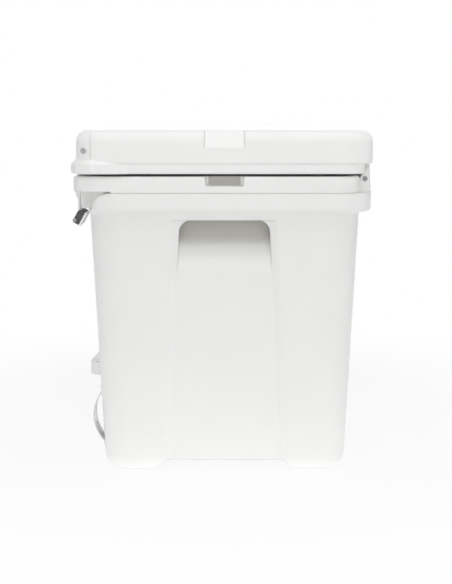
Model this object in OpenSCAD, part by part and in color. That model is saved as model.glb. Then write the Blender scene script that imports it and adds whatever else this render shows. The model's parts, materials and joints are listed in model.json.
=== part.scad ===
// Hard cooler on wheels: thick-walled tub, hinged lid, two strap latches, drain,
// bottle opener, two wheels on one axle and a telescopic tow handle.
// X runs along the length (wheels at -X), the latches face -Y, Z is up.

/* [Overall size] */
// Length over the lid, from the wheel end to the plain end
lid_l = 716; // [640:2:860]
// Depth over the lid's front and back faces
lid_w = 406; // [380:2:480]
// Height from the floor to the top of the lid
total_h = 485; // [445:1:560]

/* [Lid] */
// Height of the lid, from its underside to its top
lid_h = 59.5; // [52:0.5:70]
// Height of the lower band round the lid
lid_band_h = 13.8; // [10:0.1:16]
// Plan radius of the lid's corners
lid_r = 30; // [24:1:40]
// Radius that rounds the lid's top edge
lid_top_r = 17; // [8:1:20]
// How far the front lip stands out of the lid's front face
lid_lip = 7.5; // [4:0.5:10]
// How far the lower band sits in at the back, over the hinge
lid_band_in = 10.4; // [9:0.1:12]
// Width of the bosses that hold the latch pins at the lid's front corners
boss_w = 22; // [16:1:30]
// How far those bosses stand out of the lid's end faces
boss_out = 1.5; // [0.5:0.1:3]
// Depth of the plug that reaches down into the tub's mouth
plug_h = 8; // [4:1:14]

/* [Rim] */
// Gap between the lid and the rim, which the gasket fills
seal_gap = 3.4; // [3:0.1:6]
// Height of the rim's upper lip
rim_lip_h = 23.7; // [20:0.1:30]
// Height of the rim's lower band
rim_band_h = 25.7; // [25.5:0.1:34]
// How far the front of the lip stands out of the lid's front face
rim_lip = 4.5; // [3:0.5:6]
// How far the back of the lip sits in from the lid's back face
rim_back_in = 17; // [16.5:0.1:19]
// How far the keeper under the lip stands behind the front of the lip
keeper_in = 1.5; // [1:0.1:4]
// Radius of the finger scoop beside the keeper, seen from above
scoop_r = 60; // [52:1:64]
// Radius of the shoulder that each finger scoop leaves on the band's end
shoulder_r = 24.5; // [18:0.5:25]

/* [Tub] */
// How far the rim stands out of the tub's walls
overhang = 14.3; // [12:0.1:18]
// Height of the slanted strip in the corner under the rim's band
strip_h = 4; // [2:0.5:6]
// Slope of the tub's walls in degrees
draft = 2.7; // [2:0.1:3.5]
// Plan radius of the tub's corners under the rim
body_r = 48; // [44:1:56]
// Radius that rounds the tub's bottom edge
foot_r = 25; // [18:1:28]
// Thickness of the insulated walls at the mouth
wall_t = 45; // [40:1:50]
// Height of the inner floor above the ground
floor_z = 105; // [96:1:116]
// Plan radius of the inner corners
cavity_r = 50; // [40:1:60]
// Height of the channel under the tub, between its two runners
runner_h = 17; // [10:0.5:20]
// Half width of that channel
runner_y = 92; // [80:1:100]

/* [End recess] */
// Half width of the recess at its top
recess_top = 71; // [60:1:80]
// Half width of the recess at the ground
recess_foot = 90; // [80:1:96]
// Depth of the long shallow part
recess_d = 7; // [4:0.5:8]
// Width of the slanted flanks along its sides
flank_w = 9; // [8:0.5:12]
// Radius that softens both edges of those flanks
flank_r = 9; // [4:0.5:10]
// Distance of the recess's top edge below the rim
recess_down = 10.9; // [8:0.1:16]
// Depth of the hand hold at the top
hold_d = 34; // [26:1:36]
// Height of the hand hold's deep part
hold_h = 26; // [22:1:34]

/* [Tie-down slots] */
// Half width of the strap slots in the lid and the rim
slot_y = 27; // [20:1:32]
// Depth of the slot in the rim, from its top
slot_h = 13; // [9:1:16]

/* [Hinge] */
// Radius of the hinge rod
rod_r = 3; // [2.5:0.1:4]
// Radius of the lid's hinge knuckles
knuckle_r = 8; // [7:0.1:8.4]
// Height of the rod below the lid's underside
rod_drop = 8; // [7.5:0.1:10]
// Width of each hinge ear on the tub
ear_w = 18; // [14:1:24]

/* [Latches] */
// Distance of each latch from the end of the lid
latch_in = 133; // [100:1:180]
// Width of the latch strap
strap_w = 38; // [30:1:46]
// Radius of the pin that each latch hangs on
pin_r = 3.5; // [3:0.1:4.5]
// Distance of the pin behind the lid's front face
pin_in = 12.5; // [11:0.5:15]
// Height of the pin above the lid's underside
pin_up = 31.5; // [28:0.5:34]
// Width of the latch grip
grip_w = 54; // [46:1:66]

/* [Drain] */
// Distance of the drain from the middle of the front
drain_x = 113; // [60:1:160]
// Radius of the threaded tube through the wall
drain_r = 11.5; // [10:0.5:13]
// Radius of the hooded spout outside the wall
hood_r = 13; // [12.5:0.5:15]
// Radius of the spout's lip
spout_lip_r = 15.5; // [15:0.5:18]
// Radius of the drain cap
cap_r = 15; // [14.5:0.5:17]
// Height of the drain cap
cap_h = 22; // [18:1:24]

/* [Bottle opener] */
// Distance of the opener's middle from the end of the lid
opener_in = 79; // [72:1:110]
// Width of the opener's steel strap
opener_w = 30; // [24:1:36]
// Height of the bowed part
opener_h = 74; // [64:1:78]
// How far the bow stands out
opener_out = 14.5; // [12:0.5:22]

/* [Wheels] */
// Radius of the tyres
wheel_r = 70; // [60:1:74]
// Width of the wheels
wheel_w = 32; // [28:1:34]
// Radius of the axle
axle_r = 6; // [5:0.5:8]
// Gap between a tyre and its wheel arch
arch_gap = 9; // [6:0.5:14]

/* [Tow handle] */
// Outer radius of the fixed tubes
tube_r = 13; // [12:0.5:15]
// Wall of all three tubes
tube_t = 1.4; // [1.2:0.1:1.6]
// Half the distance between the tubes
tube_y = 55; // [45:1:60]
// How far each of the two stages slides out
travel = 215; // [150:5:230]
// Length of each tube that stays inside the next one when it is pulled out
tube_overlap = 47; // [40:1:60]

/* [Hidden] */
$fn = 48;
running_fit = 0.05;
cavity_draft = 3;
lip_flare = 5;
lip_slope_h = 21.5;
lip_slope_w = 7.6;
band_set = 1.2;
fade_l = 54;
clear = 0.3;

// heights of the stack, from the floor up
z_lid = total_h - lid_h;
z_lid_step = z_lid + lid_band_h;
z_rim = z_lid - seal_gap;
z_step = z_rim - rim_lip_h;
z_under = z_step - rim_band_h;

// half sizes in plan
lid_x = lid_l / 2;
lid_y = lid_w / 2;
lid_end = lid_x - boss_out;
lip_end = lid_x + lip_flare;
fade_y = -lid_y + 18;
band_x = lid_x - 1;
lip_x = lid_x - 2.5;
body_x = lid_x - overhang;
body_y = lid_y - overhang;
mouth_x = body_x - wall_t;
mouth_y = body_y - wall_t;
taper = tan(draft);

// band under the lip, its keeper and the finger scoops
band_front = -body_y - 0.8;
band_r = 45;
keeper_front = -lid_y - rim_lip + keeper_in;
scoop_x = lid_x - 30;
scoop_y = keeper_front - 2;
keeper_x = scoop_x - sqrt(pow(scoop_r, 2) - pow(band_front - scoop_y, 2));
shoulder_y = band_front + 32;
shoulder_z = z_step + 1;

// hinge rod, latch pins
rod_y = lid_y - 8.5;
rod_z = z_lid - rod_drop;
pin_y = -lid_y + pin_in;
pin_z = z_lid + pin_up;
latch_x = lid_x - latch_in;
ears_x = [-0.86, -0.43, 0, 0.43, 0.86] * lid_x;
ear_clear_r = 17.5;
ear_up = 14.5;

// latch strap and grip, in the side view
eye_r = pin_r + 4;
strap_in = -lid_y - rim_lip - 1.2;
strap_out = strap_in - 4.4;
neck_z = z_under - 10.7;
grip_y = -lid_y - 6.8;
grip_z = z_under - 15.4;
grip_tilt = 29.5;
grip_t = 13.2;
grip_h = 19.3;
plate_t = 3;
grip_pin_r = 2.8;

// drain
drain_z = floor_z + 20;
drain_seat = 3 - wall_y(drain_z);
nut_seat = -inner_y(drain_z) - 2;
nut_r = drain_r + 7;
flange_r = drain_r + 9;
spout_y = drain_seat - 23;
lip_z = drain_z - 5;
cap_z = lip_z - 0.6 - cap_h;
mitre_d = 6.3;

// opener
opener_x = lid_x - opener_in;
opener_z = 74;
opener_seat = 2;
backing_t = 1;
sheet_t = 1.8;
flange_y = backing_t + sheet_t;
bow_rise = opener_out + opener_seat - flange_y;
bow_r = (pow(opener_h / 2, 2) + pow(bow_rise, 2)) / (2 * bow_rise);
opener_foot = 10;
opener_screw_z = opener_h / 2 + 5;
screw_r = 2.2;
opener_screw_l = 22;

// wheels
axle_z = wheel_r;
axle_x = -(wall_x(wheel_r) - wheel_r + 5);
wheel_out = wall_y(wheel_r) + 4;
arch_side = 3;
arch_y = wheel_out - wheel_w - arch_side;
hub_r = wheel_r - 16;
bush_r = axle_r + 3;

// tow handle
tube_x = -(lid_x + 2.5 + tube_r);
tube_l = travel + tube_overlap;
tube_z = z_step - 28 - tube_l;
fit_gap = 0.3;
middle_r = tube_r - tube_t - fit_gap;
inner_r = middle_r - tube_t - fit_gap;
collar_h = 12;
middle_top = tube_z + tube_l + 2 * collar_h - 1;
grip_bar_z = middle_top + 4;
grip_bar_r = 14;
grip_bar_y = tube_y + tube_r + 4;
bracket_h = 26;
bracket_top_z = tube_z + tube_l - 96;
bracket_foot_z = tube_z + 12;
bracket_screw_y = 24;
bracket_screw_l = 62;
button_w = 13;
button_l = 40;
button_z = grip_bar_z + grip_bar_r + 4;

// middle of the whole, which is the origin
x_front = lip_end;
x_back = tube_x - tube_r - 3;
y_front = grip_y - 9.6;
y_back = lid_y;
origin_x = (x_front + x_back) / 2;
origin_y = (y_front + y_back) / 2;

// half length and half width of the tub's walls at a height
function wall_x(z) = body_x - (z_under - z) * taper;
function wall_y(z) = body_y - (z_under - z) * taper;
// half width of the hollow at a height
function inner_y(z) = mouth_y - (z_rim - z) * tan(cavity_draft);
// Upright wall profile with square corners
function wall(r, z0, z1) = [[0, z0, 0], [r, z0, 0], [r, z1, 0], [0, z1, 0]];

function unit(v) = v / norm(v);
function flat(p) = [p[0], p[1]];

// Distance from a corner b to the ends of the arc of radius b[2] that rounds it, between a and c
function reach(a, b, c) = b[2] / tan(acos(unit(flat(a) - flat(b)) * unit(flat(c) - flat(b))) / 2);
// Centre of that arc
function hub(a, b, c) = let (u = unit(flat(a) - flat(b)), v = unit(flat(c) - flat(b)))
    flat(b) + unit(u + v) * b[2] / sin(acos(u * v) / 2);
// The arc's two ends, or the corner itself where it is square
function ends(a, b, c) = b[2] == 0 ? [flat(b)] :
    [for (side = [a, c]) flat(b) + unit(flat(side) - flat(b)) * reach(a, b, c)];
// Above 0 where the outline turns left
function bend(a, b, c) = (b[0] - a[0]) * (c[1] - b[1]) - (b[1] - a[1]) * (c[0] - b[0]);
// Above 0 where the outline runs anticlockwise
function sense(pts) = let (n = len(pts))
    [for (i = [0:n - 1]) pts[i][0] * pts[(i + 1) % n][1] - pts[(i + 1) % n][0] * pts[i][1]]
        * [for (i = [0:n - 1]) 1];

// Closed outline of corners [x, y, radius]. Convex corners get a round wedge, concave
// ones are filled and then hollowed with the same arc.
module outline(pts) {
    n = len(pts);
    three = [for (i = [0:n - 1]) [pts[(i + n - 1) % n], pts[i], pts[(i + 1) % n]]];
    arcs = [for (t = three) if (t[1][2] > 0) t];
    difference() {
        union() {
            polygon([for (t = three) each ends(t[0], t[1], t[2])]);
            for (t = arcs)
                if (bend(t[0], t[1], t[2]) * sense(pts) > 0)
                    corner_wedge(t[0], t[1], t[2]);
        }
        for (t = arcs)
            if (bend(t[0], t[1], t[2]) * sense(pts) < 0)
                corner_wedge(t[0], t[1], t[2]);
    }
}

// The part of a corner's circle between its two ends
module corner_wedge(a, b, c) {
    tips = ends(a, b, c);
    centre = hub(a, b, c);
    intersection() {
        translate(centre)
            circle(r = b[2]);
        polygon([centre, tips[0], flat(b), tips[1]]);
    }
}

// Everything is drawn about the middle of the tub, then moved to the middle of the whole
module placed() translate([-origin_x, -origin_y, 0]) children();

// Carries a wall profile round a rectangle with round corners. The profile's x is the
// distance outwards from the corners' centres, its y the height, from bottom to top.
module swept(hx, y0, y1, r, bottom, top) {
    cx = hx - r;
    for (sx = [-1, 1])
        for (sy = [0, 1])
            translate([sx * cx, sy == 0 ? y0 + r : y1 - r, 0])
                rotate(sx > 0 ? (sy > 0 ? 0 : 270) : (sy > 0 ? 90 : 180))
                    rotate_extrude(angle = 90)
                        children();
    for (sx = [0, 1])
        mirror([sx, 0, 0])
            translate([cx, y1 - r, 0])
                rotate([90, 0, 0])
                    linear_extrude(y1 - y0 - 2 * r)
                        children();
    translate([-cx, 0, 0])
        rotate([90, 0, 90])
            linear_extrude(2 * cx) {
                translate([y1 - r, 0])
                    children();
                translate([y0 + r, 0])
                    mirror([1, 0])
                        children();
                translate([y0 + r, bottom])
                    square([y1 - y0 - 2 * r, top - bottom]);
            }
}

// A bar along X, from x0 to x1, with a profile drawn in Y and Z
module bar(x0, x1) translate([x0, 0, 0]) rotate([90, 0, 90]) linear_extrude(x1 - x0) children();

// A bar along Y, from y0 to y1, with a profile drawn in X and Z
module cross_bar(y0, y1) translate([0, y1, 0]) rotate([90, 0, 0]) linear_extrude(y1 - y0) children();

// A rod along X or along Y
module rod_x(r, x0, x1, y, z) translate([x0, y, z]) rotate([0, 90, 0]) cylinder(r = r, h = x1 - x0);
module rod_y(r, y0, y1, x, z) translate([x, y0, z]) rotate([-90, 0, 0]) cylinder(r = r, h = y1 - y0);

module box(x0, x1, y0, y1, z0, z1) translate([x0, y0, z0]) cube([x1 - x0, y1 - y0, z1 - z0]);

// ---------- tub ----------

module tub_walls() {
    foot = body_r - z_under * taper;
    swept(body_x, -body_y, body_y, body_r, 0, z_under)
        outline([[0, 0, 0], [foot, 0, foot_r], [body_r, z_under, 0], [0, z_under, 0]]);
    under_strip();
    rim_band();
    difference() {
        swept(lip_x, -lid_y - rim_lip, lid_y - rim_back_in, lid_r, z_step, z_rim)
            outline([[0, z_step, 0], [lid_r, z_step, 3], [lid_r, z_rim, 4.5], [0, z_rim, 0]]);
        both_scoops();
    }
}

// Slanted strip in the corner between the walls and the band's underside. It stays
// inside the band's outline, so the front has none.
module under_strip() {
    below = z_under - 2 * strip_h;
    inside = 1.2;
    intersection() {
        swept(body_x, -body_y, body_y, body_r, below, z_under + 1)
            polygon([[0, below], [body_r - strip_h, below], [body_r + strip_h, z_under],
                [body_r + strip_h, z_under + 1], [0, z_under + 1]]);
        swept(band_x - inside, band_front + inside, lid_y - inside, band_r - inside, below - 1, z_under + 2)
            outline(wall(band_r - inside, below - 1, z_under + 2));
    }
}

// Band under the lip, with the finger scoops, and the keeper that the latches hook behind
module rim_band() {
    difference() {
        swept(band_x, band_front, lid_y, band_r, z_under, z_step + 1)
            outline([[0, z_under, 0], [band_r, z_under, 6], [band_r, z_step + 1, 0], [0, z_step + 1, 0]]);
        both_scoops();
    }
    intersection() {
        bar(-lid_x, lid_x)
            outline([[-body_y + 10, z_under, 0], [keeper_front + 1.5, z_under, 4],
                [keeper_front, z_step + 2, 0], [-body_y + 10, z_step + 2, 0]]);
        translate([0, 0, z_under - 1])
            linear_extrude(rim_band_h + 4)
                outline([[-keeper_x, -mouth_y, 0], [-keeper_x, keeper_front, 6],
                    [keeper_x, keeper_front, 6], [keeper_x, -mouth_y, 0]]);
    }
}

module both_scoops()
    for (end = [0, 1])
        mirror([end, 0, 0])
            finger_scoop();

// The insulated hollow, wider towards its mouth
module tub_cavity() {
    foot = cavity_r - (z_rim - floor_z) * tan(cavity_draft);
    swept(mouth_x, -mouth_y, mouth_y, cavity_r, floor_z, z_rim + 1)
        outline([[0, floor_z, 0], [foot, floor_z, 24], [cavity_r, z_rim - 6, 0],
            [cavity_r + 3, z_rim + 1, 0], [0, z_rim + 1, 0]]);
}

// The long shallow recess in an end wall, with soft slanted flanks, and the hand hold
// that goes deep into the wall at its top
module end_recess() {
    top = z_under - recess_down;
    lean = atan((recess_foot - recess_top) / top);
    intersection() {
        box(body_x - 60, lid_x, -lid_y, lid_y, -5, top);
        recess_flank(lean, top);
        mirror([0, 1, 0])
            recess_flank(lean, top);
    }
    intersection() {
        bar(body_x - 60, lid_x)
            outline([[flank_w - recess_foot, -5, 0], [recess_foot - flank_w, -5, 0],
                [recess_top - flank_w, top, 18], [flank_w - recess_top, top, 18]]);
        cross_bar(-recess_foot, recess_foot)
            outline([[wall_x(top - 75) - recess_d, top - 75, 0], [lid_x, top - 75, 0], [lid_x, top + 1, 0],
                [wall_x(top) - hold_d, top + 1, 0], [wall_x(top - hold_h) - hold_d, top - hold_h, 22],
                [wall_x(top - 60) - recess_d, top - 60, 30]]);
    }
}

// Half of the shallow recess: a prism that runs up along one leaning side, with its
// profile drawn across the wall: X out of the wall, Y towards the side
module recess_flank(lean, top) {
    far = 2 * recess_foot + 60;
    deep = recess_d * cos(draft);
    translate([wall_x(0), recess_foot, 0])
        rotate([0, draft, 0])
            rotate([lean, 0, 0])
                translate([0, 0, -20])
                    linear_extrude(top + 40)
                        outline([[-deep, -far, 0], [25, -far, 0], [25, 15, 0], [1, 15, 0],
                            [0, 0, flank_r], [-deep, -flank_w, flank_r]]);
}

// The scoop that lets fingers reach under the lip beside the keeper: an upright
// cylinder, less the round shoulder that stays on the band's end
module finger_scoop() {
    difference() {
        translate([scoop_x, scoop_y, z_under - 1])
            cylinder(r = scoop_r, h = rim_band_h + 4);
        box(body_x - 90, lid_x + 40, band_front - 0.5, lid_y, z_under - 5, shoulder_z - shoulder_r + 1);
        box(body_x - 90, lid_x + 40, shoulder_y, lid_y, z_under - 5, shoulder_z);
        rod_x(shoulder_r, body_x - 90, lid_x + 40, shoulder_y, shoulder_z - shoulder_r);
    }
}

// The arch that a wheel turns in, open below and at the end
module wheel_arch() {
    arch_r = wheel_r + arch_gap;
    rod_y(arch_r, arch_y, lid_y, axle_x, axle_z);
    box(axle_x - 200, axle_x + arch_r, arch_y, lid_y, -5, axle_z);
    box(axle_x - 200, axle_x, arch_y, lid_y, -5, axle_z + arch_r);
}

// Ear that carries the hinge rod above the shelf at the back
module hinge_ear(x) {
    bar(x - ear_w / 2, x + ear_w / 2)
        outline([[lid_y - rim_back_in - 4, z_step - 2, 0], [lid_y - 0.5, z_step - 2, 0],
            [lid_y - 2.6, rod_z + ear_up, 4], [rod_y - 1, rod_z + ear_up, 2.4],
            [rod_y - 7.6, rod_z, 4], [lid_y - rim_back_in - 4, rod_z - 6, 0]]);
}

module tub() color([0.93, 0.93, 0.92]) placed() difference() {
    union() {
        tub_walls();
        for (x = ears_x)
            hinge_ear(x);
    }
    tub_cavity();
    for (end = [0, 1])
        mirror([end, 0, 0]) {
            end_recess();
            // tie-down slot in the rim
            bar(lip_x - 14, lid_x)
                outline([[-slot_y + 2, z_rim - slot_h, 2], [slot_y - 2, z_rim - slot_h, 2],
                    [slot_y, z_rim + 1, 0], [-slot_y, z_rim + 1, 0]]);
        }
    // channel between the runners
    bar(-lid_x, lid_x)
        outline([[-runner_y - 12, -5, 0], [runner_y + 12, -5, 0],
            [runner_y - 7, runner_h, 8], [-runner_y + 7, runner_h, 8]]);
    for (side = [0, 1])
        mirror([0, side, 0])
            wheel_arch();
    rod_y(axle_r + running_fit, -lid_y, lid_y, axle_x, axle_z);
    rod_x(rod_r + running_fit, -lid_x, lid_x, rod_y, rod_z);
    // drain: the hole, the seat of its flange, and the sump that holds its nut
    rod_y(drain_r + clear, -lid_y, 0, drain_x, drain_z);
    rod_y(flange_r + 0.8, -lid_y, drain_seat, drain_x, drain_z);
    rod_y(nut_r + 2, nut_seat, nut_seat + 18, drain_x, drain_z);
    on_front_wall()
        cross_bar(-opener_seat - 8, 0)
            opener_outline(clear, 1);
    // screw holes
    for (s = [-1, 1]) {
        on_front_wall()
            rod_y(screw_r + running_fit, -2, opener_screw_l, 0, s * opener_screw_z);
        for (z = [bracket_top_z, bracket_foot_z])
            rod_x(screw_r + running_fit, -lid_x, tube_x + 5 + bracket_screw_l,
                s * bracket_screw_y, z + bracket_h / 2);
    }
}

// ---------- lid ----------

// The upper part of the lid, with its rounded top edge
module lid_crown(hx) {
    swept(hx, -lid_y, lid_y, lid_r, z_lid_step, total_h)
        outline([[0, z_lid_step, 0], [lid_r, z_lid_step, 1], [lid_r, total_h, lid_top_r], [0, total_h, 0]]);
}

// The sloped lip along the front. A slanted plane fades it out along the lid's ends.
module lid_front_lip() {
    lip_r = lid_r + 6;
    edge = z_lid_step - 1;
    rise = z_lid + lip_slope_h - edge;
    fade = unit(cross([lid_end - band_set - lip_end, fade_l, 0], [-lip_slope_w, 0, rise]));
    difference() {
        swept(lip_end, -lid_y - lid_lip, lid_y - lid_band_in, lip_r, z_lid, z_lid + lip_slope_h)
            outline([[0, z_lid, 0], [lip_r, z_lid, 3], [lip_r, edge, 3],
                [lip_r - lip_slope_w, z_lid + lip_slope_h, 0], [0, z_lid + lip_slope_h, 0]]);
        for (end = [0, 1])
            mirror([end, 0, 0]) {
                translate([lip_end, fade_y, edge])
                    rotate([0, -asin(fade[2]), atan2(fade[1], fade[0])])
                        translate([0, -300, -300])
                            cube([200, 600, 600]);
                translate([lip_end, fade_y, z_lid - 1])
                    rotate(atan2(fade[1], fade[0]))
                        translate([0, -300, 0])
                            cube([200, 600, lip_slope_h + 2]);
                box(-1, lid_x + 40, fade_y + fade_l, lid_y + 1, z_lid - 1, total_h);
            }
    }
}

// Knuckles that hang under the lid between the tub's ears
module lid_knuckles() {
    for (i = [0:len(ears_x) - 2])
        bar(ears_x[i] + ear_w / 2 + 1, ears_x[i + 1] - ear_w / 2 - 1) {
            translate([rod_y, rod_z])
                circle(r = knuckle_r);
            translate([rod_y - knuckle_r, rod_z])
                square([2 * knuckle_r, z_lid_step + 2 - rod_z]);
        }
}

module gasket_ring(rise) {
    difference() {
        swept(mouth_x + 21, -mouth_y - 21, mouth_y + 21, cavity_r + 21, z_rim + clear, z_lid + rise)
            outline(wall(cavity_r + 21, z_rim + clear, z_lid + rise));
        swept(mouth_x + 12, -mouth_y - 12, mouth_y + 12, cavity_r + 12, z_rim - 1, z_lid + rise + 1)
            outline(wall(cavity_r + 12, z_rim - 1, z_lid + rise + 1));
    }
}

// The pocket in the lid's front that a latch strap turns in
module latch_pocket() {
    w = strap_w / 2 + 4;
    intersection() {
        rod_x(pin_in + 12, latch_x - w, latch_x + w, pin_y, pin_z);
        box(latch_x - w, latch_x + w, -lid_y - 30, pin_y + 13, z_lid, total_h + 1);
    }
    box(latch_x - w, latch_x + w, -lid_y - 30, -lid_y, z_lid - 1, pin_z);
}

module lid() color([0.95, 0.95, 0.94]) placed() difference() {
    union() {
        lid_crown(lid_end);
        intersection() {
            lid_crown(lid_x);
            union() {
                box(lid_end - lid_r, lid_x + 1, -lid_y - 1, -lid_y + boss_w, z_lid, total_h + 1);
                box(-lid_x - 1, lid_r - lid_end, -lid_y - 1, -lid_y + boss_w, z_lid, total_h + 1);
            }
        }
        swept(lid_end - band_set, -lid_y, lid_y - lid_band_in, lid_r - 2, z_lid, z_lid_step)
            outline([[0, z_lid, 0], [lid_r - 2, z_lid, 3], [lid_r - 2, z_lid_step, 0], [0, z_lid_step, 0]]);
        lid_front_lip();
        swept(mouth_x - 9, 9 - mouth_y, mouth_y - 9, cavity_r - 9, z_lid - plug_h, z_lid)
            outline([[0, z_lid - plug_h, 0], [cavity_r - 9, z_lid - plug_h, 4],
                [cavity_r - 9, z_lid, 0], [0, z_lid, 0]]);
        lid_knuckles();
    }
    for (x = ears_x)
        rod_x(ear_clear_r, x - ear_w / 2 - 1, x + ear_w / 2 + 1, rod_y, rod_z);
    rod_x(rod_r + running_fit, -lid_x, lid_x, rod_y, rod_z);
    gasket_ring(3);
    for (end = [0, 1])
        mirror([end, 0, 0]) {
            latch_pocket();
            rod_x(pin_r + running_fit, latch_x - strap_w / 2 - 16, lid_x + 1, pin_y, pin_z);
            rod_x(pin_r + 1.8, lid_x - 3, lid_x + 1, pin_y, pin_z);
            // tie-down slot in the lid's end
            cross_bar(-slot_y, slot_y)
                polygon([[lid_x + 5, total_h - 33], [lid_end + 1, total_h - 26],
                    [lid_end - 14, total_h + 1], [lid_x + 5, total_h + 1]]);
        }
}

module gasket() color([0.23, 0.19, 0.16]) placed() gasket_ring(3);

module hinge_rod() color([0.7, 0.71, 0.72]) placed()
    rod_x(rod_r, ears_x[0] - ear_w / 2 - 2.5, ears_x[4] + ear_w / 2 + 2.5, rod_y, rod_z);

// ---------- latches ----------

module on_side(side) placed() mirror([side, 0, 0]) children();

module latch_pin(side) color([0.75, 0.76, 0.77]) on_side(side) {
    rod_x(pin_r, latch_x - strap_w / 2 - 15, lid_x - 2.2, pin_y, pin_z);
}

// Side view of the strap: the eye, the arm down over the rim's lip, the hook and the neck
module strap_profile() {
    translate([pin_y, pin_z])
        circle(r = eye_r);
    outline([[pin_y + 1, pin_z + eye_r, 2], [pin_y - 7, pin_z + eye_r - 1, 6], [strap_out, pin_z - 8, 14],
        [strap_out, z_step + 5, 4], [strap_out - 2, z_step - 1, 3], [strap_out - 2, z_step - 8, 3],
        [strap_out + 1.2, z_step - 15, 3], [strap_out + 1.2, neck_z, 1], [strap_in, neck_z, 1],
        [strap_in, pin_z - 13, 5], [pin_y - 5, pin_z - eye_r + 1, 0], [pin_y + 1, pin_z - eye_r, 0]]);
}

module latch_strap(side) color([0.9, 0.9, 0.89]) on_side(side) difference() {
    bar(latch_x - strap_w / 2, latch_x + strap_w / 2)
        strap_profile();
    rod_x(pin_r + running_fit, latch_x - strap_w, latch_x + strap_w, pin_y, pin_z);
}

// Places what is drawn in the grip's own Y and Z, with the grip's middle at the origin
module at_grip() translate([0, grip_y, grip_z]) rotate([-grip_tilt, 0, 0]) children();

module latch_grip(side) color([0.12, 0.12, 0.12]) on_side(side) difference() {
    at_grip()
        bar(latch_x - grip_w / 2, latch_x + grip_w / 2)
            outline([[-grip_t / 2, -grip_h / 2, 2.5], [grip_t / 2 - plate_t, -grip_h / 2, 1],
                [grip_t / 2 - plate_t, grip_h / 2, 1], [-grip_t / 2, grip_h / 2, 2.5]]);
    bar(latch_x - strap_w / 2 - 0.1, latch_x + strap_w / 2 + 0.1)
        strap_profile();
    at_grip()
        rod_x(grip_pin_r + running_fit, latch_x - grip_w, latch_x + grip_w,
            -grip_t / 2 + 2.2, -grip_h / 2 + 3.6);
}

module latch_plate(side) color([0.6, 0.6, 0.6]) on_side(side) at_grip()
    bar(latch_x - grip_w / 2 + 2, latch_x + grip_w / 2 - 2)
        outline([[grip_t / 2 - plate_t, -grip_h / 2 - 1, 0.6], [grip_t / 2, -grip_h / 2 - 1, 1],
            [grip_t / 2, grip_h / 2 + 1, 1], [grip_t / 2 - plate_t, grip_h / 2 + 1, 0.6]]);

module grip_pin(side) color([0.8, 0.8, 0.8]) on_side(side) at_grip()
    rod_x(grip_pin_r, latch_x - grip_w / 2 - 1.5, latch_x + grip_w / 2 + 1.5,
        -grip_t / 2 + 2.2, -grip_h / 2 + 3.6);

// ---------- drain ----------

module at_drain() placed() translate([drain_x, 0, 0]) children();

// Hooded elbow: a tube through the wall, a flange, a dome and a spout that points down
module drain_elbow() color([0.92, 0.92, 0.91]) at_drain() difference() {
    union() {
        difference() {
            union() {
                rod_y(hood_r, spout_y, drain_seat - 4, 0, drain_z);
                rod_y(drain_r, spout_y, nut_seat + 9, 0, drain_z);
                translate([0, spout_y, drain_z])
                    sphere(r = hood_r);
            }
            translate([0, spout_y, cap_z])
                cylinder(r = spout_lip_r + 0.5, h = lip_z - cap_z);
        }
        rod_y(flange_r, drain_seat - 6, drain_seat - 2, 0, drain_z);
        translate([0, spout_y, lip_z])
            cylinder(r = spout_lip_r, h = 2.5);
        translate([0, spout_y, cap_z + 4.8])
            cylinder(r = drain_r, h = lip_z - cap_z - 4.8);
    }
    // slanted face across the outside of the bend
    translate([0, spout_y, drain_z])
        rotate([45, 0, 0])
            translate([-2 * hood_r, -2 * hood_r, mitre_d])
                cube([4 * hood_r, 4 * hood_r, hood_r]);
    rod_y(drain_r - 3.5, spout_y + spout_lip_r + 2, 0, 0, drain_z);
    rod_y(drain_z - lip_z - 0.4, spout_y, 0, 0, drain_z);
    translate([0, spout_y, cap_z])
        cylinder(r = drain_r - 3.5, h = drain_z - cap_z - 1);
}

module drain_washer() color([0.15, 0.15, 0.15]) at_drain() difference() {
    rod_y(flange_r - 1, drain_seat - 2, drain_seat, 0, drain_z);
    rod_y(drain_r, -lid_y, 0, 0, drain_z);
}

module drain_nut() color([0.88, 0.88, 0.87]) at_drain() difference() {
    translate([0, nut_seat, drain_z])
        rotate([-90, 0, 0])
            cylinder(r = nut_r, h = 7, $fn = 6);
    rod_y(drain_r, -lid_y, 0, 0, drain_z);
}

// Cup with finger grooves round its side
module drain_cap() color([0.9, 0.9, 0.89]) at_drain() translate([0, spout_y, cap_z]) difference() {
    rotate_extrude()
        outline([[0, 0, 0], [cap_r, 0, 3], [cap_r, cap_h, 1], [0, cap_h, 0]]);
    translate([0, 0, 3])
        cylinder(r = drain_r + clear, h = cap_h);
    for (a = [0:30:330])
        rotate(a)
            translate([cap_r + 1.4, 0, 4])
                cylinder(r = 2, h = cap_h);
}

module cap_seal() color([0.15, 0.15, 0.15]) at_drain()
    translate([0, spout_y, cap_z + 3])
        cylinder(r = drain_r, h = 1.5);

// ---------- bottle opener ----------

// Places what is drawn against an upright wall at Y = 0 in the opener's shallow seat
// in the sloped front wall
module on_front_wall()
    translate([opener_x, opener_seat - wall_y(opener_z), opener_z])
        rotate([draft, 0, 0])
            children();
module at_opener() placed() on_front_wall() children();

// Pan-head screw whose head stands at the origin and whose shank runs along +Z
module screw(shank_r, head_r, head_h, shank_l) {
    rotate_extrude()
        outline([[0, -head_h, 0], [head_r, -head_h, head_h * 0.8], [head_r, 0, 0],
            [shank_r, 0, 0], [shank_r, shank_l - 1, 0], [0, shank_l, 0]]);
}

// Outline of the opener's backing plate, or of its seat with a margin round it
module opener_outline(margin, r)
    outline([for (c = [[-1, -1], [1, -1], [1, 1], [-1, 1]])
        [c[0] * (opener_w / 2 + margin), c[1] * (opener_h / 2 + opener_foot + margin), r]]);

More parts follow.
